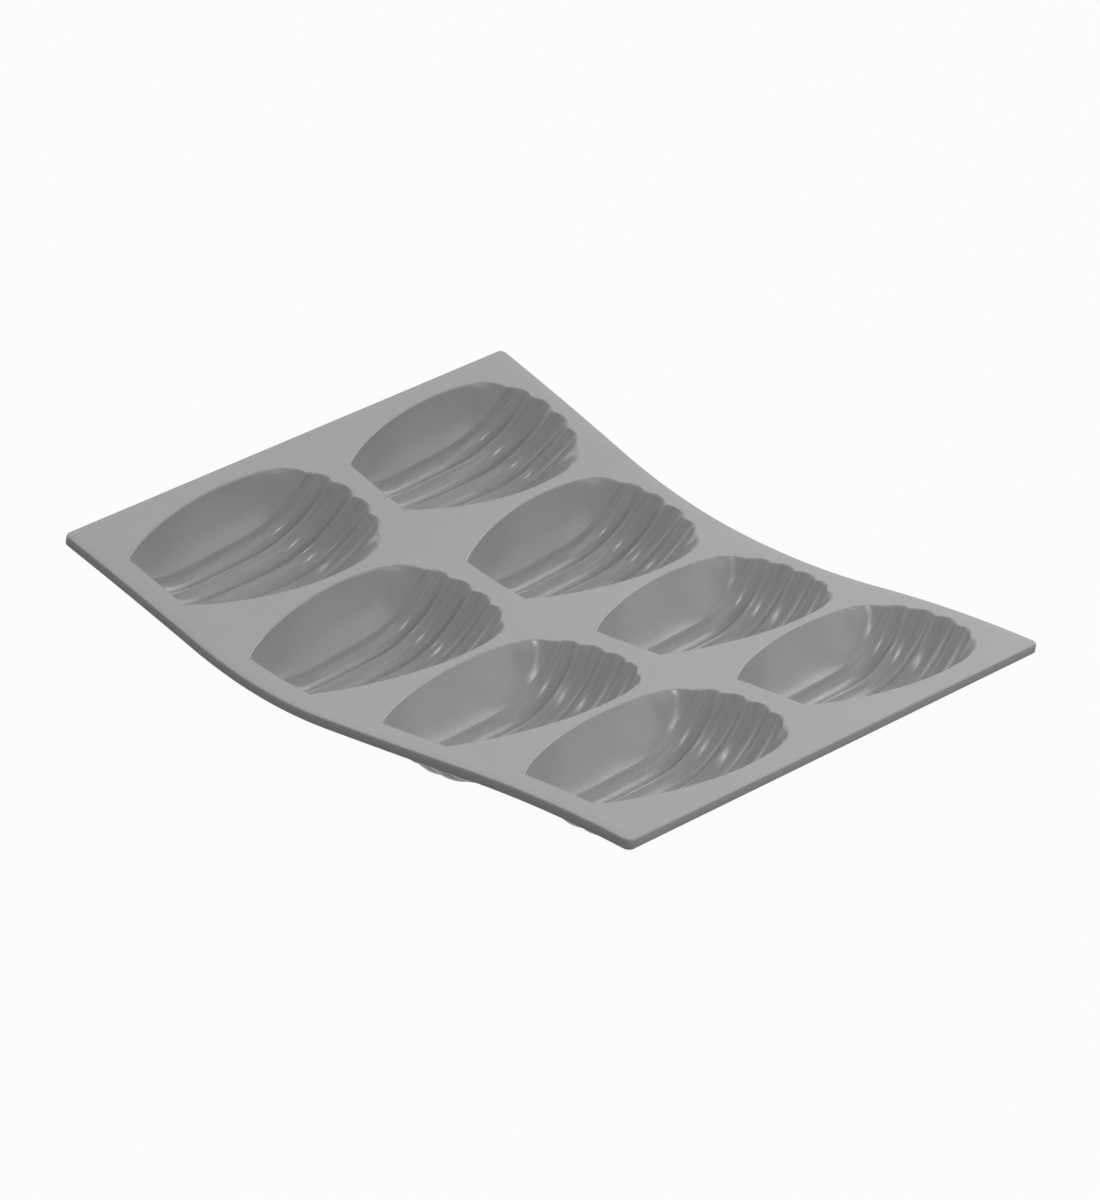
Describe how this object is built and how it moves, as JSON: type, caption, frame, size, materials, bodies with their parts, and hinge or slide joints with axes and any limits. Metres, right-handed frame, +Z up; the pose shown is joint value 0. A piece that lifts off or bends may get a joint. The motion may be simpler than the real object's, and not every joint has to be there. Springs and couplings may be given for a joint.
{
  "type": "madeleine mould",
  "caption": "Flexible rectangular baking mould: a thin deck with rows of shell-shaped cups, flexing along the webs between the cups.",
  "frame": {"origin": "bottom centre of the whole mould's box, on the surface that the cups stand on", "axes": "+X along the long side from the raised end, +Y from the front long edge to the back one, +Z up"},
  "size_m": [0.2084, 0.176, 0.0487],
  "materials": {
    "deck": "matt grey foamed silicone, fine even grain",
    "cups": "the same silicone, smoother and slightly satin where it touches the batter"
  },
  "bodies": {
    "column_1": {"deck_column_1": "deck", "cup_front_1": "cups", "cup_back_1": "cups"},
    "column_2": {"deck_column_2": "deck", "cup_front_2": "cups", "cup_back_2": "cups"},
    "column_3": {"deck_column_3": "deck", "cup_front_3": "cups", "cup_back_3": "cups"},
    "column_4": {"deck_column_4": "deck", "cup_front_4": "cups", "cup_back_4": "cups"}
  },
  "joints": [
    {"name": "flex_1", "type": "hinge", "parent": "column_2", "child": "column_1", "pos_m": [-0.05017, 0, 0.02583], "axis": [0.0046, 0.9992, 0.0393], "range_deg": [-20, 20], "stiffness_Nm_per_rad": 0.6},
    {"name": "flex_2", "type": "hinge", "parent": "column_2", "child": "column_3", "pos_m": [-0.00061, 0, 0.0182], "axis": [0.0016, -1, 0], "range_deg": [-20, 20], "stiffness_Nm_per_rad": 0.6},
    {"name": "flex_3", "type": "hinge", "parent": "column_3", "child": "column_4", "pos_m": [0.04937, 0, 0.02115], "axis": [-0.0011, -0.9997, 0.026], "range_deg": [-20, 20], "stiffness_Nm_per_rad": 0.6}
  ]
}
